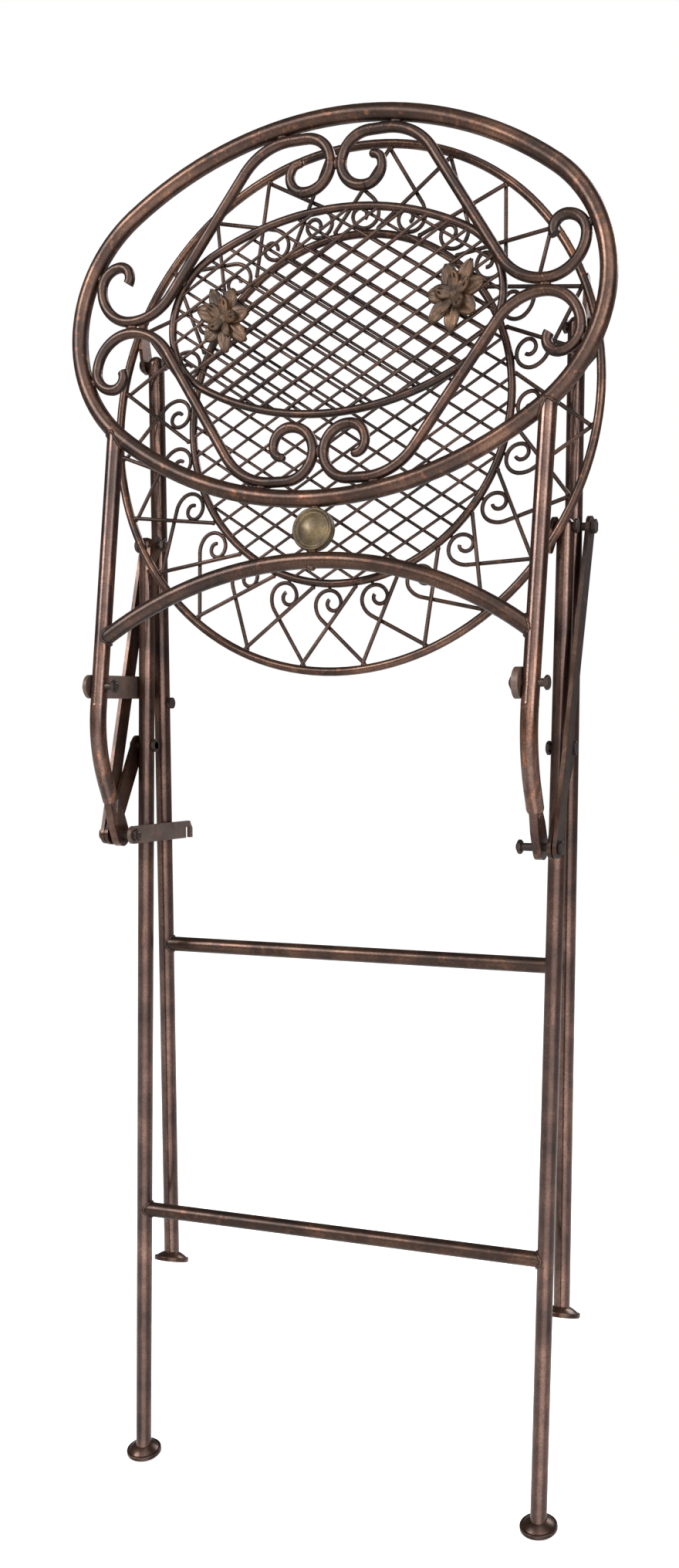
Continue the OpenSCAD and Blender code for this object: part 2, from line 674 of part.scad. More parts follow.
// The open chair, to find how far the hook has to reach
open_seat_turn = 90 - seat_tilt - rear_lean;
open_front_pivot = seat_pivot + turned(front_pivot - seat_pivot, -open_seat_turn);
open_brace_pivot = open_front_pivot
    + turned(brace_pivot - front_pivot, open_lean + rear_lean - front_tilt);
link_l = norm(lower_pivot - link_pivot);
brace_l = norm(brace_pivot - lower_pivot);
open_run = open_brace_pivot - link_pivot;
open_along = (pow(link_l, 2) - pow(brace_l, 2) + pow(norm(open_run), 2)) / (2 * norm(open_run));
open_side = sqrt(pow(link_l, 2) - pow(open_along, 2));
open_lower_pivot = link_pivot
    + (open_along * open_run + open_side * [-open_run[1], open_run[0]]) / norm(open_run);
hook_reach = norm(open_lower_pivot - seat_pivot);

module locking_hook() {
    arm_w = 14;
    slot_r = bolt_d / 2 + 0.6;
    end = hook_reach + slot_r;
    color(rust) mirror([1, 0, 0]) at(lower_pivot, hook_x - strap_t / 2) rotate([2, 0, 0]) across()
        rotate(90) difference() {
            union() {
                cylinder(d = arm_w, h = strap_t);
                linear_extrude(strap_t) polygon([[0, -arm_w / 2 + 0.1], [end + 4, -arm_w / 2 + 0.1],
                    [end + 4, 1], [end + 1.6, 4], [end, arm_w / 2 - 0.1], [0, arm_w / 2 - 0.1]]);
            }
            translate([0, 0, -1]) cylinder(d = hole_d, h = 2 * strap_t);
            translate([hook_reach, 0, -1]) cylinder(r = slot_r, h = 2 * strap_t);
            translate([hook_reach - slot_r + 0.05, -arm_w, -1])
                cube([2 * slot_r - 0.1, arm_w, 2 * strap_t]);
        }
}

echo(leg_y = leg_y, open_lean = open_lean, hook_reach = hook_reach);
echo(seat_pivot = seat_pivot, front_pivot = front_pivot, brace_pivot = brace_pivot);
echo(hoop = hoop_centre, bolt = upright_bolt, open_lower = open_lower_pivot);
echo(lobe = lobe, curl = [curl_u, curl_v], diag = diag_turn, lead = lead_turn, lead_l = lead_l);

rear_leg_left();
rear_leg_right();
rear_rung();
rear_foot_left();
rear_foot_right();
seat_pivot_bolts();
link_bolts();
front_leg_left();
front_leg_right();
footrest();
front_foot_left();
front_foot_right();
catch_stud();
seat_outer_ring();
seat_inner_ring();
seat_mesh();
seat_scrolls();
seat_lug_rear_left();
seat_lug_rear_right();
seat_lug_front_left();
seat_lug_front_right();
front_pivot_bolts();
short_link_left();
short_link_right();
lower_pivot_bolts();
side_brace_left();
side_brace_right();
brace_bolts();
back_hoop();
back_inner_oval();
back_mesh();
back_scroll_top_left();
back_scroll_top_right();
back_scroll_bottom_left();
back_scroll_bottom_right();
cast_leaf_left();
cast_leaf_right();
back_upright_left();
back_upright_right();
back_arch();
back_medallion();
upright_bolts();
upright_collar_right();
folding_stay();
locking_hook();
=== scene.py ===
import math

import bmesh
import bpy
from mathutils import Matrix, Vector, noise


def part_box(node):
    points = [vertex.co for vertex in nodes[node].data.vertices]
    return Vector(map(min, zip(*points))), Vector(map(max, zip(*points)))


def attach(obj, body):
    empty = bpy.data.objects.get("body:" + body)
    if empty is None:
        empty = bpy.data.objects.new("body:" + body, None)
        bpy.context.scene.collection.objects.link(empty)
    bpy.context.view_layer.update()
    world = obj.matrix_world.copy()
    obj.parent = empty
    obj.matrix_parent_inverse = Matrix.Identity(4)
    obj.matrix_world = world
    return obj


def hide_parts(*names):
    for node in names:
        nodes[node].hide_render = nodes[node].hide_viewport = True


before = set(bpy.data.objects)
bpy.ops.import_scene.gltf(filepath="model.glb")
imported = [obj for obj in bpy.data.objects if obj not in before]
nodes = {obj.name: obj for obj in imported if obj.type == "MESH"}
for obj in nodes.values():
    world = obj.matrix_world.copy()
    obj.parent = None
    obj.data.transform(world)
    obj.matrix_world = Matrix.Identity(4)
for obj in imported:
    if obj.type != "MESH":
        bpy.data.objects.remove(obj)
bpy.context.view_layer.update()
print("frame loaded:", len(nodes), "nodes")

mm = 0.001

# The part's own sizes, in millimetres and degrees, that the added pieces sit on.
# In the back's plane u runs across from its middle and v up
legs = {"x": 173.0, "planeY": 9.235, "radius": 6.35, "rungRadius": 6.0}
seat = {"pivotZ": 752.0, "tilt": 5.2, "along": 92.9, "drop": 10.5, "radius": 130.5,
        "tips": 192.6, "arms": 134.4, "scrolls": 24, "armTurn": 14.25, "curlTurn": 10.3}
back = {"y": -39.1225, "z": 911.0, "tilt": 6.6, "halfWidth": 210.5, "halfHeight": 140.0,
        "endRadius": 105.0, "bar": 4.0, "ovalZ": -7.3, "ovalHalf": (132.5, 75.5)}
scroll = {"lobe": (37.0, 80.285), "lobeRadius": 46.0, "hookV": 105.3, "curlU": 164.98,
          "midCurl": (177.98, 32.3), "midRadius": 15.0, "side": (123.5, 32.0)}
arch = {"radius": 297.4, "barRadius": 6.0, "middleV": -482.5}
mesh = {"cellWidth": 27.0, "cellHeight": 17.0, "wire": 2.3}

# Materials


def hexColour(text):
    values = [int(text[i:i + 2], 16) / 255 for i in (1, 3, 5)]
    linear = [v / 12.92 if v <= 0.04045 else ((v + 0.055) / 1.055) ** 2.4 for v in values]
    return (*linear, 1.0)


# An input takes a value or another node's output, and a stop a hex colour or a grey
def addNode(tree, kind, inputs=None, stops=(), **settings):
    node = tree.nodes.new(kind)
    for key, value in settings.items():
        setattr(node, key, value)
    for key, value in (inputs or {}).items():
        if isinstance(value, bpy.types.NodeSocket):
            tree.links.new(value, node.inputs[key])
        else:
            node.inputs[key].default_value = value
    if stops:
        elements = node.color_ramp.elements
        while len(elements) < len(stops):
            elements.new(0.5)
        for element, (position, tone) in zip(elements, stops):
            element.position = position
            element.color = hexColour(tone) if isinstance(tone, str) else (tone, tone, tone, 1)
    return node


def newMaterial(name):
    material = bpy.data.materials.new(name)
    material.use_nodes = True
    material.node_tree.nodes.clear()
    return material, material.node_tree


# What the coats share: patches and depths in millimetres, and the levels of a noise at which
# a tone, the gloss or a fleck changes
wearAndHighlight = {"cloud": 38.0, "toneAt": (0.32, 0.5, 0.7), "glossAt": (0.3, 0.7), "brush": 6.0,
        "rubAndHighlightEdge": 0.1, "rubAndHighlightMost": 0.62, "bandRubAndHighlight": 0.11, "fleck": [(0.38, 0.72), (0.6, 1.12)],
        "grainDepth": 0.05, "brushDepth": 0.12, "lacquerRough": 0.18}

coats = {
    # antiqued powder coat on steel, with metal flake: red brown, copper rubbed through in spots,
    # the spots also painted highlights
    "powderCoatBrown": {"base": ["#22140d", "#3f291e", "#634636"], "rubAndHighlight": "#89583c",
                        "metal": 0.64, "rubAndHighlightAt": 0.65, "rough": [0.25, 0.44], "grain": 1.6,
                        "stretch": 1.0, "lacquer": 0.08},
    # the same coat on the legs, rubbed lengthwise and evener, its copper streaks also painted
    # highlights
    "powderCoatLegs": {"base": ["#2e1c16", "#4a332a", "#694d41"], "rubAndHighlight": "#8f634c",
                       "metal": 0.62, "rubAndHighlightAt": 0.68, "rough": [0.17, 0.3], "grain": 1.6,
                       "stretch": 0.12, "lacquer": 0.18},
    # the same coat on the uprights, rubbed to the copper undercoat round their lower bend, which
    # is also a painted highlight, in a band of heights in metres
    "coatBrownBendRubAndHighlight": {"base": ["#2e1c16", "#4a332a", "#694d41"], "rubAndHighlight": "#9c6545",
                        "metal": 0.62, "rubAndHighlightAt": 0.66, "rough": [0.17, 0.3], "grain": 1.6,
                        "stretch": 0.12, "lacquer": 0.18, "band": (0.5, 0.7)},
    # the same coat as a darker copy on rungs, scrolls, links and braces: painted shade
    "powderCoatPaintedShade": {"base": ["#1c110c", "#36231a", "#553c2e"], "rubAndHighlight": "#734935",
                       "metal": 0.64, "rubAndHighlightAt": 0.66, "rough": [0.26, 0.44], "grain": 1.4,
                       "stretch": 1.0, "lacquer": 0.06},
    # thin drawn wire, the coat almost black and a little glossy
    "coatedWire": {"base": ["#1a0f0b", "#311f18", "#4c362a"], "rubAndHighlight": "#664130",
                   "metal": 0.62, "rubAndHighlightAt": 0.67, "rough": [0.3, 0.46], "grain": 1.2,
                   "stretch": 1.0, "lacquer": 0.0},
    # stay, hook and collar: a dry grey brown, rusted in small patches
    "dullRustedSteel": {"base": ["#382c28", "#52423b", "#6c584e"], "rubAndHighlight": "#7d5138",
                        "metal": 0.4, "rubAndHighlightAt": 0.64, "rough": [0.45, 0.68], "grain": 1.0,
                        "stretch": 1.0, "lacquer": 0.0},
    # blackened bolts: even and dark
    "blackenedSteel": {"base": ["#1f1714", "#30251f", "#463731"], "rubAndHighlight": "#604839",
                       "metal": 0.6, "rubAndHighlightAt": 0.7, "rough": [0.34, 0.54], "grain": 1.0,
                       "stretch": 1.0, "lacquer": 0.0},
}


def coatMaterial(name, coat):
    material, tree = newMaterial(name)
    place = addNode(tree, "ShaderNodeTexCoord").outputs["Object"]
    # uneven spray, in hand-sized patches
    cloud = addNode(tree, "ShaderNodeTexNoise", {
        "Vector": place, "Scale": 1 / (wearAndHighlight["cloud"] * mm), "Detail": 4.0,
        "Roughness": 0.6}).outputs["Fac"]
    colour = addNode(tree, "ShaderNodeValToRGB", {"Fac": cloud},
                     list(zip(wearAndHighlight["toneAt"], coat["base"]))).outputs["Color"]
    roughness = addNode(tree, "ShaderNodeValToRGB", {"Fac": cloud},
                        list(zip(wearAndHighlight["glossAt"], coat["rough"][::-1]))).outputs["Color"]
    # where hands rubbed it through to copper; these copper patches are also painted highlights
    streak = addNode(tree, "ShaderNodeMapping", {
        "Vector": place, "Scale": (1.0, 1.0, coat["stretch"])}).outputs["Vector"]
    brush = addNode(tree, "ShaderNodeTexNoise", {
        "Vector": streak, "Scale": 1 / (wearAndHighlight["brush"] * mm), "Detail": 5.0,
        "Roughness": 0.65}).outputs["Fac"]
    wornAndHighlit = brush
    # more copper in a band round the uprights' lower bend: rubbed through, and a painted
    # highlight
    if "band" in coat:
        low, high = coat["band"]
        height = addNode(tree, "ShaderNodeSeparateXYZ", {"Vector": place}).outputs["Z"]
        offset = addNode(tree, "ShaderNodeMath", {0: height, 1: (low + high) / 2},
                         operation="SUBTRACT").outputs[0]
        away = addNode(tree, "ShaderNodeMath", {0: offset}, operation="ABSOLUTE").outputs[0]
        bendRubAndHighlight = addNode(tree, "ShaderNodeMapRange", {
            "Value": away, "From Max": (high - low) / 2, "To Min": wearAndHighlight["bandRubAndHighlight"],
            "To Max": 0.0}).outputs["Result"]
        wornAndHighlit = addNode(tree, "ShaderNodeMath", {0: brush, 1: bendRubAndHighlight}, operation="ADD").outputs[0]
    # copper patches: rubbed-through wear, and painted highlight
    rubAndHighlightMask = addNode(tree, "ShaderNodeValToRGB", {"Fac": wornAndHighlit}, [
        (coat["rubAndHighlightAt"] - wearAndHighlight["rubAndHighlightEdge"], 0.0),
        (coat["rubAndHighlightAt"] + wearAndHighlight["rubAndHighlightEdge"], wearAndHighlight["rubAndHighlightMost"])]).outputs["Color"]
    colour = addNode(tree, "ShaderNodeMix", {0: rubAndHighlightMask, 6: colour, 7: hexColour(coat["rubAndHighlight"])},
                     data_type="RGBA").outputs[2]
    # orange peel, drawn coarse enough to show
    grain = addNode(tree, "ShaderNodeTexNoise", {
        "Vector": place, "Scale": 1 / (coat["grain"] * mm), "Detail": 2.0,
        "Roughness": 0.55}).outputs["Fac"]
    fleck = addNode(tree, "ShaderNodeValToRGB", {"Fac": grain}, wearAndHighlight["fleck"]).outputs["Color"]
    colour = addNode(tree, "ShaderNodeMix", {0: 1.0, 6: colour, 7: fleck}, data_type="RGBA",
                     blend_type="MULTIPLY").outputs[2]
    peel = addNode(tree, "ShaderNodeBump", {
        "Height": grain, "Distance": wearAndHighlight["grainDepth"] * mm,
        "Strength": 0.55}).outputs["Normal"]
    normal = addNode(tree, "ShaderNodeBump", {
        "Height": brush, "Distance": wearAndHighlight["brushDepth"] * mm, "Strength": 0.35,
        "Normal": peel}).outputs["Normal"]
    shader = addNode(tree, "ShaderNodeBsdfPrincipled", {
        "Base Color": colour, "Roughness": roughness, "Normal": normal,
        "Metallic": coat["metal"], "Coat Weight": coat["lacquer"],
        "Coat Roughness": wearAndHighlight["lacquerRough"]})
    addNode(tree, "ShaderNodeOutputMaterial", {"Surface": shader.outputs["BSDF"]})
    return material


# Sand-cast bronze: cloudy tones, with a skin of sand grains that is dark in its pits
casting = {"cloud": 12.0, "toneAt": (0.3, 0.48, 0.7), "rough": [(0.3, 0.6), (0.7, 0.38)],
           "sand": 0.9, "pits": [(0.35, 0.6), (0.62, 1.1)], "pitDepth": 0.08, "metal": 0.4}

bronzes = {
    # cast rosettes, copper brown on the high points under a dark wash
    "copperBronzeCasting": ["#261912", "#4b3625", "#735237"],
    # cast disc, olive bronze
    "oliveBronzeCasting": ["#241c11", "#493b25", "#685638"],
}


def bronzeMaterial(name, tones):
    material, tree = newMaterial(name)
    place = addNode(tree, "ShaderNodeTexCoord").outputs["Object"]
    cloud = addNode(tree, "ShaderNodeTexNoise", {
        "Vector": place, "Scale": 1 / (casting["cloud"] * mm), "Detail": 4.0,
        "Roughness": 0.6}).outputs["Fac"]
    colour = addNode(tree, "ShaderNodeValToRGB", {"Fac": cloud},
                     list(zip(casting["toneAt"], tones))).outputs["Color"]
    roughness = addNode(tree, "ShaderNodeValToRGB", {"Fac": cloud},
                        casting["rough"]).outputs["Color"]
    sand = addNode(tree, "ShaderNodeTexNoise", {
        "Vector": place, "Scale": 1 / (casting["sand"] * mm), "Detail": 2.0,
        "Roughness": 0.55}).outputs["Fac"]
    wash = addNode(tree, "ShaderNodeValToRGB", {"Fac": sand}, casting["pits"]).outputs["Color"]
    colour = addNode(tree, "ShaderNodeMix", {0: 1.0, 6: colour, 7: wash}, data_type="RGBA",
                     blend_type="MULTIPLY").outputs[2]
    normal = addNode(tree, "ShaderNodeBump", {
        "Height": sand, "Distance": casting["pitDepth"] * mm,
        "Strength": 0.7}).outputs["Normal"]
    shader = addNode(tree, "ShaderNodeBsdfPrincipled", {
        "Base Color": colour, "Roughness": roughness, "Normal": normal,
        "Metallic": casting["metal"]})
    addNode(tree, "ShaderNodeOutputMaterial", {"Surface": shader.outputs["BSDF"]})
    return material


materials = {name: coatMaterial(name, coat) for name, coat in coats.items()}
for name, tones in bronzes.items():
    materials[name] = bronzeMaterial(name, tones)

finishes = {
    "powderCoatLegs": ["rear_leg_left", "rear_leg_right", "front_leg_left", "front_leg_right"],
    "powderCoatBrown": ["seat_outer_ring", "seat_lug_rear_left", "seat_lug_rear_right",
                        "seat_lug_front_left", "seat_lug_front_right", "back_hoop"],
    "coatBrownBendRubAndHighlight": ["back_upright_left", "back_upright_right"],
    # the darker copy of the coat on these parts is painted shade
    "powderCoatPaintedShade": ["rear_rung", "footrest", "rear_foot_left", "rear_foot_right",
                       "front_foot_left", "front_foot_right", "seat_inner_ring",
                       "back_inner_oval", "back_scroll_top_left", "back_scroll_top_right",
                       "back_scroll_bottom_left", "back_scroll_bottom_right", "back_arch",
                       "short_link_left", "short_link_right", "side_brace_left",
                       "side_brace_right"],
    "coatedWire": ["seat_mesh", "seat_scrolls", "back_mesh"],
    "dullRustedSteel": ["upright_collar_right", "folding_stay", "locking_hook"],
    "blackenedSteel": ["seat_pivot_bolts", "link_bolts", "front_pivot_bolts",
                       "lower_pivot_bolts", "brace_bolts", "catch_stud", "upright_bolts"],
    "oliveBronzeCasting": ["cast_leaf_left", "cast_leaf_right", "back_medallion"],
}
for finish, names in finishes.items():
    for name in names:
        nodes[name].data.materials.clear()
        nodes[name].data.materials.append(materials[finish])
print("materials:", len(materials))

# Helpers for new pieces


def meshPiece(name, bm, finish, body, smooth=True):
    bmesh.ops.remove_doubles(bm, verts=bm.verts, dist=0.01 * mm)
    bmesh.ops.recalc_face_normals(bm, faces=bm.faces)
    data = bpy.data.meshes.new(name)
    bm.to_mesh(data)
    bm.free()
    for face in data.polygons:
        face.use_smooth = smooth
    data.materials.append(materials[finish])
    obj = bpy.data.objects.new(name, data)
    bpy.context.scene.collection.objects.link(obj)
    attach(obj, body)
    return obj


# Three directions at a place, as a matrix that lays a shape there
def axesAt(place, x, y, z):
    return Matrix.Translation(place) @ Matrix((x, y, z)).transposed().to_4x4()


# A plane with x across, y up along it and z out of it, towards the front of the picture
def planeAt(origin, tilt):
    t = math.radians(tilt)
    up = Vector((0, math.sin(t), math.cos(t)))
    out = Vector((0, -math.cos(t), math.sin(t)))
    return axesAt(Vector(origin) * mm, (1, 0, 0), up, out) @ Matrix.Scale(mm, 4)


backPlane = planeAt((0, back["y"] + legs["planeY"], back["z"]), back["tilt"])
seatLean = math.radians(seat["tilt"])
seatPlane = planeAt(
    (0, legs["planeY"] + seat["along"] * math.sin(seatLean) - seat["drop"] * math.cos(seatLean),
     seat["pivotZ"] + seat["along"] * math.cos(seatLean) + seat["drop"] * math.sin(seatLean)),
    seat["tilt"])


# One round section, given back as its edges, for bridge_loops to join
def addRing(bm, sides, radius, place):
    made = bmesh.ops.create_circle(bm, segments=sides, radius=radius, matrix=place)["verts"]
    return list(dict.fromkeys(edge for v in made for edge in v.link_edges))


# Rings joined one to the next, with the ends filled or, when closed, joined to each other
def bridgeRings(bm, rings, closed=False):
    following = rings[1:] + rings[:1] if closed else rings[1:]
    for ring, after in zip(rings, following):
        bmesh.ops.bridge_loops(bm, edges=ring + after)
    if not closed:
        for ring in (rings[0], rings[-1]):
            bmesh.ops.edgeloop_fill(bm, edges=ring)


# A profile of (radius, height) spun round z, with both ends filled
def addLathe(bm, profile, sides):
    line = [bm.verts.new((radius, 0, height)) for radius, height in profile]
    edges = [bm.edges.new(pair) for pair in zip(line, line[1:])]
    bmesh.ops.spin(bm, geom=line + edges, cent=(0, 0, 0), axis=(0, 0, 1), angle=2 * math.pi,
                   steps=sides, use_merge=True)
    bmesh.ops.holes_fill(bm, edges=[edge for edge in bm.edges if edge.is_boundary], sides=0)


# Cast rosettes on the back mesh, in place of the plain leaves

rosette = {"petals": 7, "tilt": 3.0, "overlap": 0.5, "thick": 1.5, "narrow": 0.86,
           "long": 1.12, "lift": 2.6, "pitting": 0.5, "pitsPerMm": 0.35,
           "at": {"Left": (-86, 28), "Right": (98, -24)}}  # middle's u, and turn
innerPetals = {"count": 5, "size": 0.6, "start": 30.0, "tilt": 20.0, "lift": 1.0}
petal = {"length": 24.0, "width": 17.0, "root": 0.08, "blunt": 0.6, "rootWidth": 0.55,
         "fold": 1.5, "ridge": 1.1, "ridgeTurn": 9.0, "bow": 1.8}
bud = {"radius": 4.2, "flat": 0.7, "height": 2.2}


def addPetal(bm, size, angle, tilt, lift):
    made = bmesh.ops.create_grid(bm, x_segments=8, y_segments=12, size=0.5)["verts"]
    for v in made:
        across, along = v.co.x * 2, v.co.y + 0.5  # -1 to 1, and 0 to 1 from the root
        outline = math.sin(math.pi * min(1.0, along * (1 - petal["root"]) + petal["root"]))
        spread = petal["rootWidth"] + (1 - petal["rootWidth"]) * along
        half = outline ** petal["blunt"] * spread * petal["width"] / 2
        ridge = petal["ridge"] * math.cos(across * petal["ridgeTurn"]) * along
        bow = petal["bow"] * math.sin(math.pi * along)
        height = ridge + bow - petal["fold"] * abs(across)
        v.co = Vector((across * half * size, along * petal["length"] * size, height * size))
    turn = Matrix.Rotation(math.radians(angle), 4, "Z")
    lean = Matrix.Rotation(math.radians(tilt), 4, "X")
    bmesh.ops.transform(bm, matrix=Matrix.Translation((0, 0, lift)) @ turn @ lean, verts=made)


def buildRosette(side, centre, turn):
    bm = bmesh.new()
    for i in range(rosette["petals"]):
        upper = i % 2  # each second petal lies over its neighbours
        addPetal(bm, 1.0, i * 360 / rosette["petals"], rosette["tilt"] * (1 + upper),
                 rosette["overlap"] * upper)
    for i in range(innerPetals["count"]):
        addPetal(bm, innerPetals["size"], innerPetals["start"] + i * 360 / innerPetals["count"],
                 innerPetals["tilt"], innerPetals["lift"])
    bmesh.ops.recalc_face_normals(bm, faces=bm.faces)
    bmesh.ops.solidify(bm, geom=bm.faces[:], thickness=rosette["thick"])
    middle = bmesh.ops.create_uvsphere(bm, u_segments=16, v_segments=10, radius=bud["radius"])
    bmesh.ops.scale(bm, vec=(1, 1, bud["flat"]), verts=middle["verts"])
    bmesh.ops.translate(bm, vec=(0, 0, bud["height"]), verts=middle["verts"])
    for v in bm.verts:
        v.co.z += rosette["pitting"] * noise.noise(v.co * rosette["pitsPerMm"])
    bmesh.ops.scale(bm, vec=(rosette["narrow"], rosette["long"], 1.0), verts=bm.verts)
    height = back["ovalZ"] + mesh["wire"] + rosette["lift"]
    place = Matrix.Translation((centre, 0, height)) @ Matrix.Rotation(math.radians(turn), 4, "Z")
    bmesh.ops.transform(bm, matrix=backPlane @ place, verts=bm.verts)
    piece = meshPiece("castRosette" + side, bm, "copperBronzeCasting", "back")
    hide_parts("cast_leaf_" + side.lower())


for side, (centre, turn) in rosette["at"].items():
    buildRosette(side, centre, turn)
print("rosettes cast")

# Cast disc between the arch and the hoop, and a short stub under the arch. Profiles are pairs
# of a share of the radius and a height

disc = {"v": -162.73, "radius": 15.9, "sides": 64, "faceFrom": 1.0, "hammer": 0.35,
        "hammerPerMm": 0.28,
        "profile": [(0.3, -7.4), (0.66, -7.6), (0.9, -6.2), (0.98, -4.0), (1.0, -1.0),
                    (1.0, 1.6), (0.985, 2.8), (0.94, 3.5), (0.88, 3.4), (0.84, 2.4),
                    (0.8, 1.7), (0.74, 1.9), (0.6, 3.2), (0.42, 4.3), (0.22, 4.9),
                    (0.06, 5.1)]}
stub = {"v": -192.7, "radius": 3.6, "sides": 24,
        "profile": [(0.3, 0.0), (0.75, 0.4), (1.0, 1.6), (0.9, 3.0), (0.8, 4.5), (1.1, 7.0)]}


def buildTurned(name, size, turn, finish):
    bm = bmesh.new()
    addLathe(bm, [(share * size["radius"], height) for share, height in size["profile"]],
             size["sides"])
    for v in bm.verts:
        if "hammer" in size and v.co.z > size["faceFrom"]:
            v.co.z += size["hammer"] * noise.noise(v.co * size["hammerPerMm"])
    place = Matrix.Translation((0, size["v"], 0)) @ Matrix.Rotation(turn, 4, "X")
    bmesh.ops.transform(bm, matrix=backPlane @ place, verts=bm.verts)
    return meshPiece(name, bm, finish, "back")


castDisc = buildTurned("castDisc", disc, 0.0, "oliveBronzeCasting")
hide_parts("back_medallion")
buildTurned("archStub", stub, -math.pi / 2, "powderCoatPaintedShade")
print("disc cast")

# The drawn-out tips that close the hooks under the lobes, each a bar that thins to a round end.
# The arcs are pairs of a radius and a turn

tips = {"start": (24.85, 86.46), "heading": 5.0, "arcs": [(13.0, 105.0), (7.0, 70.0)],
        "step": 5.0, "sleeve": 0.05, "endRadius": 3.2, "sides": 20,
        "dome": (0.0, 0.5, 0.8, 0.96)}


def tipPath():
    x, y = tips["start"]
    heading = tips["heading"]
    points = [Vector((x, y, 0))]
    for radius, turn in tips["arcs"]:
        steps = int(turn / tips["step"])
        for _ in range(steps):
            heading += turn / steps / 2
            run = 2 * radius * math.sin(math.radians(turn / steps / 2))
            x += run * math.cos(math.radians(heading))
            y += run * math.sin(math.radians(heading))
            heading += turn / steps / 2
            points.append(Vector((x, y, 0)))
    return points


# A round bar along points of a plane, its radius from start to end, closed by a dome
def addBar(bm, points, start, end):
    up = Vector((0, 0, 1))
    rings = []
    last = len(points) - 1
    for i, p in enumerate(points):
        along = (points[min(i + 1, last)] - points[max(i - 1, 0)]).normalized()
        radius = start + (end - start) * i / last
        for rise in tips["dome"] if i == last else (0.0,):
            place = axesAt(p + along * rise * radius, up.cross(along), up, along)
            rings.append(addRing(bm, tips["sides"], radius * math.sqrt(1 - rise ** 2), place))
    bridgeRings(bm, rings)


bm = bmesh.new()
path = tipPath()
for sx in (-1, 1):
    for sy in (-1, 1):
        addBar(bm, [Vector((sx * p.x, sy * p.y, 0)) for p in path],
               back["bar"] + tips["sleeve"], tips["endRadius"])
bmesh.ops.transform(bm, matrix=backPlane, verts=bm.verts)
meshPiece("lobeHookTips", bm, "powderCoatPaintedShade", "back")
print("hook tips drawn")

# Hex bolts with chamfered heads and nuts, made along z and then laid across the chair

bolt = {"flats": 9.0, "headHeight": 3.0, "headSides": 48, "crown": 0.12, "crownShare": 0.6,
        "chamfer": 0.45, "washerChamfer": 0.27, "faceShare": 0.985}
shank = {"radius": 3.0, "sides": 24, "end": [(0.72, 0.0), (0.92, 0.35)], "threadFrom": 0.5,
         "pitch": 0.5, "threads": 4, "depth": 0.06}


# A six-sided section whose corners are cut off at a radius of cap
def addHexRing(bm, z, cap):
    ring = addRing(bm, bolt["headSides"], 1.0, Matrix.Translation((0, 0, z)))
    for v in dict.fromkeys(v for edge in ring for v in edge.verts):
        angle = math.atan2(v.co.x, v.co.y)
        fold = (angle + math.pi / 6) % (math.pi / 3) - math.pi / 6
        reach = min(bolt["flats"] / 2 / math.cos(fold), cap)
        v.co = Vector((reach * math.sin(angle), reach * math.cos(angle), z))
    return ring


def addHex(bm, low, high):
    corner = bolt["flats"] / 2 / math.cos(math.pi / 6)
    face = bolt["flats"] / 2 * bolt["faceShare"]
    sections = [(low, face), (low + bolt["washerChamfer"], corner),
                (high - bolt["chamfer"], corner), (high, face),
                (high + bolt["crown"], face * bolt["crownShare"])]
    bridgeRings(bm, [addHexRing(bm, z, cap) for z, cap in sections])


# The shank from its end up. A threaded end has a chamfer and grooves, in place of a spiral
def addShank(bm, low, high, threaded):
    profile = [(1.0, 0.0)]
    if threaded:
        profile = list(shank["end"])
        for k in range(2 * shank["threads"]):
            profile.append((1.0 - shank["depth"] * (k % 2),
                            shank["threadFrom"] + shank["pitch"] / 2 * k))
    rings = [(share * shank["radius"], low + height) for share, height in profile]
    addLathe(bm, rings + [(shank["radius"], high)], shank["sides"])


# One bolt on each side, as far across as the node's own mesh reaches. The shank's end stands
# proud of its nut
def buildBolts(node, name, body, proud):
    xs = [v.co.x / mm for v in nodes[node].data.vertices if v.co.x > 0]
    low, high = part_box(node)
    y, z = (low[1] + high[1]) / 2, (low[2] + high[2]) / 2
    inner, outer = min(xs), max(xs)
    height, crown = bolt["headHeight"], bolt["crown"]
    bm = bmesh.new()
    addShank(bm, inner, outer - height, proud > 0)
    addHex(bm, outer - height, outer - crown)
    addHex(bm, inner + proud, inner + proud + height - crown)
    twin = bmesh.ops.duplicate(bm, geom=bm.verts[:] + bm.edges[:] + bm.faces[:])["geom"]
    mirrored = [g for g in twin if isinstance(g, bmesh.types.BMVert)]
    bmesh.ops.scale(bm, vec=(1, 1, -1), verts=mirrored)
    across = Matrix.Scale(mm, 4) @ Matrix.Rotation(math.pi / 2, 4, "Y")
    bmesh.ops.transform(bm, matrix=Matrix.Translation((0, y, z)) @ across, verts=bm.verts)
    piece = meshPiece(name, bm, "blackenedSteel", body, smooth=False)
    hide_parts(node)


for node, name, body, proud in (
        ("seat_pivot_bolts", "seatPivotHexBolts", "rear_legs", 1.2),
        ("link_bolts", "linkHexBolts", "rear_legs", 0.0),
        ("front_pivot_bolts", "frontPivotHexBolts", "front_legs", 1.2),
        ("lower_pivot_bolts", "lowerPivotHexBolts", "short_links", 1.2),
        ("upright_bolts", "uprightHexBolts", "back", 1.2)):
    buildBolts(node, name, body, proud)
print("bolts turned")

# Welds: ripple beads round the tubes' joints, and small lumps where bars only touch

welds = {"bead": 1.3, "sides": 8, "ripple": 0.22, "pointsPerRipple": 3.0, "points": 48,
         "lump": 0.35, "lumpsPerMm": 0.45}
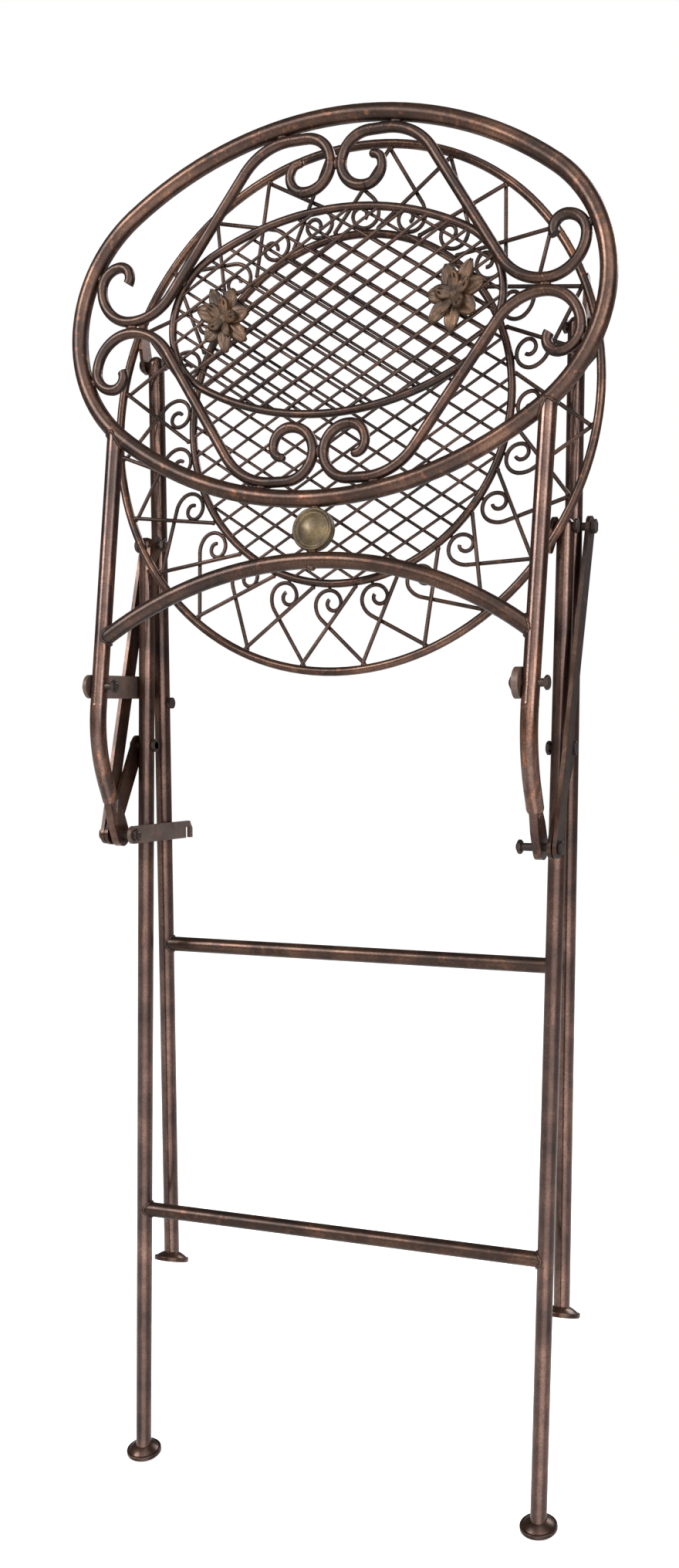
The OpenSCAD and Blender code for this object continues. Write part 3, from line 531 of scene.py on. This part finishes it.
# Lumps by the place they hold: the radius, and how far it is stretched along u, v and out
lumps = {"hook": (2.8, (0.7, 1.7, 0.9)), "curl": (2.8, (1.7, 0.7, 0.9)),
         "lobe": (3.0, (1.7, 0.7, 0.9)), "midCurl": (2.8, (0.8, 1.5, 0.9)),
         "side": (2.4, (1.2, 1.5, 0.9)), "disc": (2.6, (1.6, 0.7, 1.0)),
         "seatTip": (2.4, (1.0, 1.0, 0.8)), "seatArm": (1.9, (1.0, 1.0, 0.8)),
         "seatCurl": (1.6, (1.0, 1.0, 0.8))}


def addLump(bm, kind, at):
    radius, stretch = lumps[kind]
    made = bmesh.ops.create_icosphere(bm, subdivisions=2, radius=radius)["verts"]
    for v in made:
        uneven = noise.noise(v.co * welds["lumpsPerMm"] + Vector(at))
        v.co += v.co.normalized() * welds["lump"] * uneven
    bmesh.ops.scale(bm, vec=stretch, verts=made)
    bmesh.ops.translate(bm, vec=at, verts=made)


# A closed bead along points round the middle of a bar, its radius rippled as a weld's
def addBead(bm, points):
    count = len(points)
    points = [Vector(p) for p in points]
    middle = sum(points, Vector()) / count
    rings = []
    for i, p in enumerate(points):
        along = (points[(i + 1) % count] - points[i - 1]).normalized()
        out = p - middle
        out = (out - along * out.dot(along)).normalized()
        wave = math.sin(i * 2 * math.pi / welds["pointsPerRipple"])
        rings.append(addRing(bm, welds["sides"], welds["bead"] * (1 + welds["ripple"] * wave),
                             axesAt(p, out, along.cross(out), along)))
    bridgeRings(bm, rings, closed=True)


turns = [2 * math.pi * i / welds["points"] for i in range(welds["points"])]


# Round the end of a rung, on the inner side of a leg
def rungWeld(bm, node, side):
    low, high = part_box(node)
    y, z = (low[1] + high[1]) / 2 / mm, (low[2] + high[2]) / 2 / mm
    r = legs["rungRadius"]
    points = []
    for t in turns:
        reach = math.sqrt(legs["radius"] ** 2 - (r * math.cos(t)) ** 2)
        points.append((side * (legs["x"] - reach), y + r * math.cos(t), z + r * math.sin(t)))
    addBead(bm, points)


# Round the top of an upright, on the hoop
def uprightWeld(bm, side):
    r = legs["radius"]
    middle = back["halfWidth"] - back["endRadius"]
    points = []
    for t in turns:
        u, w = legs["x"] + r * math.cos(t), r * math.sin(t)
        reach = back["endRadius"] + math.sqrt(max(0.0, r * r - w * w))
        points.append((side * u, -math.sqrt(reach ** 2 - (u - middle) ** 2), w))
    addBead(bm, points)


# Round the end of the arch, on the inner side of an upright
def archWeld(bm, side):
    r = arch["barRadius"]
    points = []
    for t in turns:
        w = r * math.sin(t)
        u = legs["x"] - math.sqrt(legs["radius"] ** 2 - w * w)
        reach = arch["radius"] + r * math.cos(t)
        points.append((side * u, arch["middleV"] + math.sqrt(reach ** 2 - u * u), w))
    addBead(bm, points)


for node, name, body in (("rear_rung", "rearRungWelds", "rear_legs"),
                         ("footrest", "footrestWelds", "front_legs")):
    bm = bmesh.new()
    for side in (-1, 1):
        rungWeld(bm, node, side)
    bmesh.ops.scale(bm, vec=(mm, mm, mm), verts=bm.verts)
    meshPiece(name, bm, "powderCoatPaintedShade", body)

# The hoop's top is an arc round a point this far under its middle, and its ends are rounder
# arcs. Each lobe and curl touches its arc on the line between the two middles
endU = back["halfWidth"] - back["endRadius"]
endRise = back["halfHeight"] - back["endRadius"]
topDrop = (endU ** 2 - endRise ** 2) / (2 * endRise)
lobe, curl = Vector(scroll["lobe"]), Vector(scroll["midCurl"])
lobeOut = (lobe + Vector((0, topDrop))).normalized()
curlOut = (curl - Vector((endU, 0))).normalized()
lobeTouch = lobe + lobeOut * (scroll["lobeRadius"] + back["bar"])
curlTouch = curl + curlOut * (scroll["midRadius"] + back["bar"])

bm = bmesh.new()
sideU, sideV = scroll["side"]
for sx in (-1, 1):
    uprightWeld(bm, sx)
    archWeld(bm, sx)
    addLump(bm, "curl", (sx * scroll["curlU"], 0, 0))
    for sy in (-1, 1):
        addLump(bm, "lobe", (sx * lobeTouch.x, sy * lobeTouch.y, 0))
        addLump(bm, "midCurl", (sx * curlTouch.x, sy * curlTouch.y, 0))
        addLump(bm, "side", (sx * sideU, sy * sideV, back["ovalZ"] / 2))
for sy in (-1, 1):
    addLump(bm, "hook", (0, sy * scroll["hookV"], 0))
    addLump(bm, "disc", (0, disc["v"] + sy * disc["radius"], 0))
bmesh.ops.transform(bm, matrix=backPlane, verts=bm.verts)
meshPiece("backWelds", bm, "powderCoatPaintedShade", "back")

# On each scroll of the seat: its lump, how far it is turned from the scroll's tip, how far out
# it sits, and its height, as one arm passes over the other
seatLumps = [("seatTip", 0.0, seat["tips"] + 0.8, 0.0),
             ("seatArm", seat["armTurn"], seat["arms"], 1.4),
             ("seatCurl", -seat["curlTurn"], seat["arms"] - 0.2, -1.4)]
bm = bmesh.new()
for i in range(seat["scrolls"]):
    for kind, turn, reach, height in seatLumps:
        a = math.radians((i + 0.5) * 360 / seat["scrolls"] + turn)
        addLump(bm, kind, (reach * math.sin(a), -reach * math.cos(a), height))
bmesh.ops.transform(bm, matrix=seatPlane, verts=bm.verts)
meshPiece("seatWelds", bm, "powderCoatPaintedShade", "seat")
print("welds laid")

# Paint gathered where the mesh wires cross: a blob's radius is a share of the wire's

paint = {"share": 0.62, "stretch": (1.35, 1.0, 1.25), "margin": 6.0}


def buildPaint(name, halfWide, halfHigh, z, plane, body):
    bm = bmesh.new()
    columns = int(halfWide / mesh["cellWidth"]) + 1
    rows = int(halfHigh / mesh["cellHeight"]) + 1
    for i in range(-2 * columns, 2 * columns + 1):
        for j in range(-2 * rows, 2 * rows + 1):
            u, v = i * mesh["cellWidth"] / 2, j * mesh["cellHeight"] / 2
            away = math.hypot(u / (halfWide - paint["margin"]), v / (halfHigh - paint["margin"]))
            if (i + j) % 2 == 0 and away < 1:
                made = bmesh.ops.create_icosphere(bm, subdivisions=1,
                                                  radius=mesh["wire"] * paint["share"])["verts"]
                bmesh.ops.scale(bm, vec=paint["stretch"], verts=made)
                bmesh.ops.translate(bm, vec=(u, v, z), verts=made)
    bmesh.ops.transform(bm, matrix=plane, verts=bm.verts)
    meshPiece(name, bm, "coatedWire", body)


buildPaint("backMeshPaint", *back["ovalHalf"], back["ovalZ"], backPlane, "back")
buildPaint("seatMeshPaint", seat["radius"], seat["radius"], 0, seatPlane, "seat")
print("mesh crossings painted")

# Floor, light and camera, in metres and degrees

studio = {"floor": "#e9e9e9", "floorSize": 12.0, "glow": 0.72, "world": 0.45,
          "glossFront": 3.4, "glossSide": 0.14, "glossEdge": (0.72, 0.98)}
softboxes = {
    "keySoftbox": {"energy": 105.0, "size": 1.4, "at": (-1.9, -2.4, 2.2), "aim": (0, 0, 0.6)},
    "fillSoftbox": {"energy": 48.0, "size": 1.6, "at": (2.6, -1.8, 1.6), "aim": (0, 0, 0.6)},
    "rimSoftbox": {"energy": 60.0, "size": 1.4, "at": (1.2, 2.4, 2.4), "aim": (0, 0, 0.7)},
}
photoView = {"azimuth": 23.99, "down": 5.74, "roll": 0.87, "lens": 40.02, "shiftUp": 0.1102,
             "at": (0.5475, -1.2203, 0.5673), "nearest": 0.05}


# What the tubes' gloss sees: a bright studio towards the photographer, a dark one at the sides
def glossSeen(tree):
    a = math.radians(photoView["azimuth"])
    coming = addNode(tree, "ShaderNodeNewGeometry").outputs["Incoming"]
    level = addNode(tree, "ShaderNodeVectorMath", {0: coming, 1: (1, 1, 0)},
                    operation="MULTIPLY").outputs["Vector"]
    flat = addNode(tree, "ShaderNodeVectorMath", {0: level}, operation="NORMALIZE")
    front = addNode(tree, "ShaderNodeVectorMath",
                    {0: flat.outputs["Vector"], 1: (-math.sin(a), math.cos(a), 0)},
                    operation="DOT_PRODUCT").outputs["Value"]
    side, middle = studio["glossEdge"]
    return addNode(tree, "ShaderNodeValToRGB", {"Fac": front}, [
        (side, studio["glossSide"]), (middle, studio["glossFront"])]).outputs["Color"]


# Full for a ray straight from the camera or through glass, the studio above for a gloss, and
# soft for what lights the part
def seenStrength(tree, soft):
    seen = addNode(tree, "ShaderNodeLightPath").outputs
    shine = addNode(tree, "ShaderNodeMath", {0: seen["Is Glossy Ray"], 1: glossSeen(tree)},
                    operation="MULTIPLY").outputs[0]
    dull = addNode(tree, "ShaderNodeMath", {0: 1.0, 1: seen["Is Glossy Ray"]},
                   operation="SUBTRACT").outputs[0]
    lit = addNode(tree, "ShaderNodeMath", {0: dull, 1: soft}, operation="MULTIPLY").outputs[0]
    both = addNode(tree, "ShaderNodeMath", {0: shine, 1: lit}, operation="ADD").outputs[0]
    straight = addNode(tree, "ShaderNodeMath",
                       {0: seen["Is Camera Ray"], 1: seen["Is Transmission Ray"]},
                       operation="MAXIMUM").outputs[0]
    return addNode(tree, "ShaderNodeMath", {0: straight, 1: both},
                   operation="MAXIMUM").outputs[0]


def buildFloor():
    bm = bmesh.new()
    bmesh.ops.create_grid(bm, x_segments=1, y_segments=1, size=studio["floorSize"])
    data = bpy.data.meshes.new("studioFloor")
    bm.to_mesh(data)
    bm.free()
    material, tree = newMaterial("paleStudioPaper")
    paper = addNode(tree, "ShaderNodeBsdfDiffuse", {"Color": hexColour(studio["floor"])})
    strength = addNode(tree, "ShaderNodeMath", {0: seenStrength(tree, 0.0), 1: studio["glow"]},
                       operation="MULTIPLY").outputs[0]
    white = addNode(tree, "ShaderNodeEmission", {"Color": (1, 1, 1, 1), "Strength": strength})
    both = addNode(tree, "ShaderNodeAddShader", {0: paper.outputs[0], 1: white.outputs[0]})
    addNode(tree, "ShaderNodeOutputMaterial", {"Surface": both.outputs[0]})
    data.materials.append(material)
    floor = bpy.data.objects.new("studioFloor", data)
    bpy.context.scene.collection.objects.link(floor)


def buildWorld():
    world = bpy.data.worlds.new("softStudio")
    world.use_nodes = True
    tree = world.node_tree
    tree.nodes.clear()
    sky = addNode(tree, "ShaderNodeBackground", {
        "Color": (1, 1, 1, 1), "Strength": seenStrength(tree, studio["world"])})
    addNode(tree, "ShaderNodeOutputWorld", {"Surface": sky.outputs[0]})
    bpy.context.scene.world = world


def buildLights():
    for name, box in softboxes.items():
        lamp = bpy.data.lights.new(name, "AREA")
        lamp.energy, lamp.size = box["energy"], box["size"]
        obj = bpy.data.objects.new(name, lamp)
        obj.location = box["at"]
        beam = Vector(box["aim"]) - Vector(box["at"])
        obj.rotation_euler = beam.to_track_quat("-Z", "Y").to_euler()
        bpy.context.scene.collection.objects.link(obj)


def buildCamera():
    a, e, r = (math.radians(photoView[k]) for k in ("azimuth", "down", "roll"))
    behind = Vector((math.sin(a) * math.cos(e), -math.cos(a) * math.cos(e), math.sin(e)))
    right = Vector((math.cos(a), math.sin(a), 0))
    up = behind.cross(right)
    x = right * math.cos(r) + up * math.sin(r)
    y = up * math.cos(r) - right * math.sin(r)
    data = bpy.data.cameras.new("photoCamera")
    data.lens, data.shift_y = photoView["lens"], photoView["shiftUp"]
    data.clip_start = photoView["nearest"]
    camera = bpy.data.objects.new("photoCamera", data)
    camera.matrix_world = axesAt(photoView["at"], x, y, behind)
    bpy.context.scene.collection.objects.link(camera)
    bpy.context.scene.camera = camera


buildFloor()
buildWorld()
buildLights()
buildCamera()
bpy.context.scene.view_settings.view_transform = "Standard"
print("stage and camera set")
